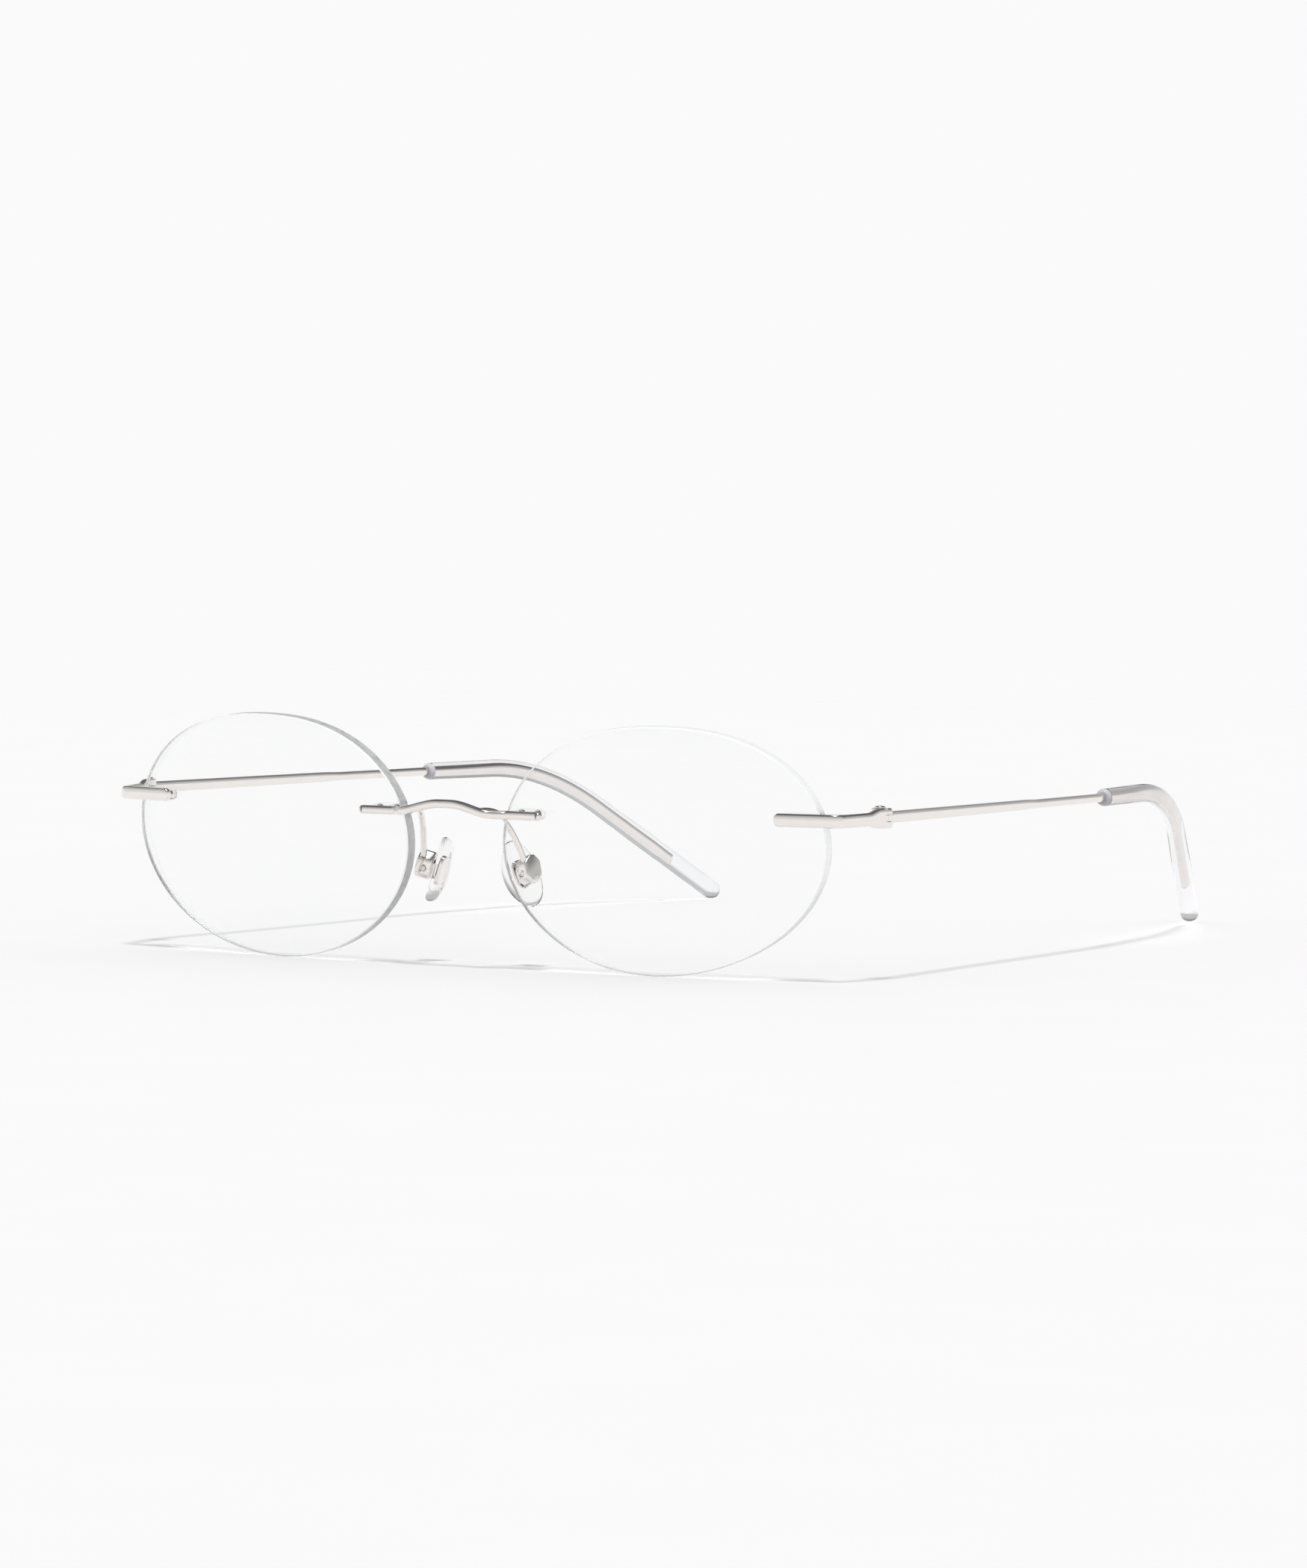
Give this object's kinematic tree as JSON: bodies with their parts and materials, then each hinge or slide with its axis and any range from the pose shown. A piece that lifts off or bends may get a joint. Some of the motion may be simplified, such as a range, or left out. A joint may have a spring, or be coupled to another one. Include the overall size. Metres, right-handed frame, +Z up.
{
  "type": "eyeglasses",
  "caption": "Rimless eyeglasses with clear oval lenses, a thin wire bridge, adjustable clear nose pads and folding metal temples with clear ear tips.",
  "frame": {"origin": "on the table plane under the middle of the whole object, temples open", "axes": "+X is the wearer's left, +Y runs back along the open temples, +Z is up; the front faces -Y"},
  "size_m": [0.1266, 0.154, 0.0357],
  "materials": {
    "frame_metal": "polished silver-coloured plating on a nickel alloy wire",
    "screw_metal": "turned and plated, slightly duller than the frame",
    "lens": "clear, polished faces, edge ground and lightly frosted",
    "tip_plastic": "clear glossy moulded acetate with a faint cool tint",
    "pad_silicone": "clear soft silicone, glossy",
    "bushing_plastic": "clear moulded plastic"
  },
  "bodies": {
    "front": {"bridge": "frame_metal", "lens_left": "lens", "lens_right": "lens", "end_piece_left": "frame_metal", "end_piece_right": "frame_metal", "outer_bushing_left": "bushing_plastic", "outer_bushing_right": "bushing_plastic", "inner_bushing_left": "bushing_plastic", "inner_bushing_right": "bushing_plastic", "pad_arm_left": "frame_metal", "pad_arm_right": "frame_metal", "pad_box_left": "frame_metal", "pad_box_right": "frame_metal", "pad_screw_left": "screw_metal", "pad_screw_right": "screw_metal", "hinge_screw_left": "screw_metal", "hinge_screw_right": "screw_metal"},
    "left_temple": {"temple_left": "frame_metal", "temple_tip_left": "tip_plastic"},
    "right_temple": {"temple_right": "frame_metal", "temple_tip_right": "tip_plastic"},
    "left_pad": {"pad_insert_left": "frame_metal", "nose_pad_left": "pad_silicone"},
    "right_pad": {"pad_insert_right": "frame_metal", "nose_pad_right": "pad_silicone"}
  },
  "joints": [
    {"name": "left_fold", "type": "hinge", "parent": "front", "child": "left_temple", "pos_m": [0.06176, -0.05958, 0.0231], "axis": [0, 0, 1], "range_deg": [0, 86]},
    {"name": "right_fold", "type": "hinge", "parent": "front", "child": "right_temple", "pos_m": [-0.06176, -0.05958, 0.0231], "axis": [0, 0, -1], "range_deg": [0, 80]},
    {"name": "left_pad_rock", "type": "hinge", "parent": "front", "child": "left_pad", "pos_m": [0.00907, -0.06696, 0.01372], "axis": [0.309, 0.9511, 0], "range_deg": [-10, 10]},
    {"name": "right_pad_rock", "type": "hinge", "parent": "front", "child": "right_pad", "pos_m": [-0.00907, -0.06696, 0.01372], "axis": [0.309, -0.9511, 0], "range_deg": [-10, 10]}
  ]
}
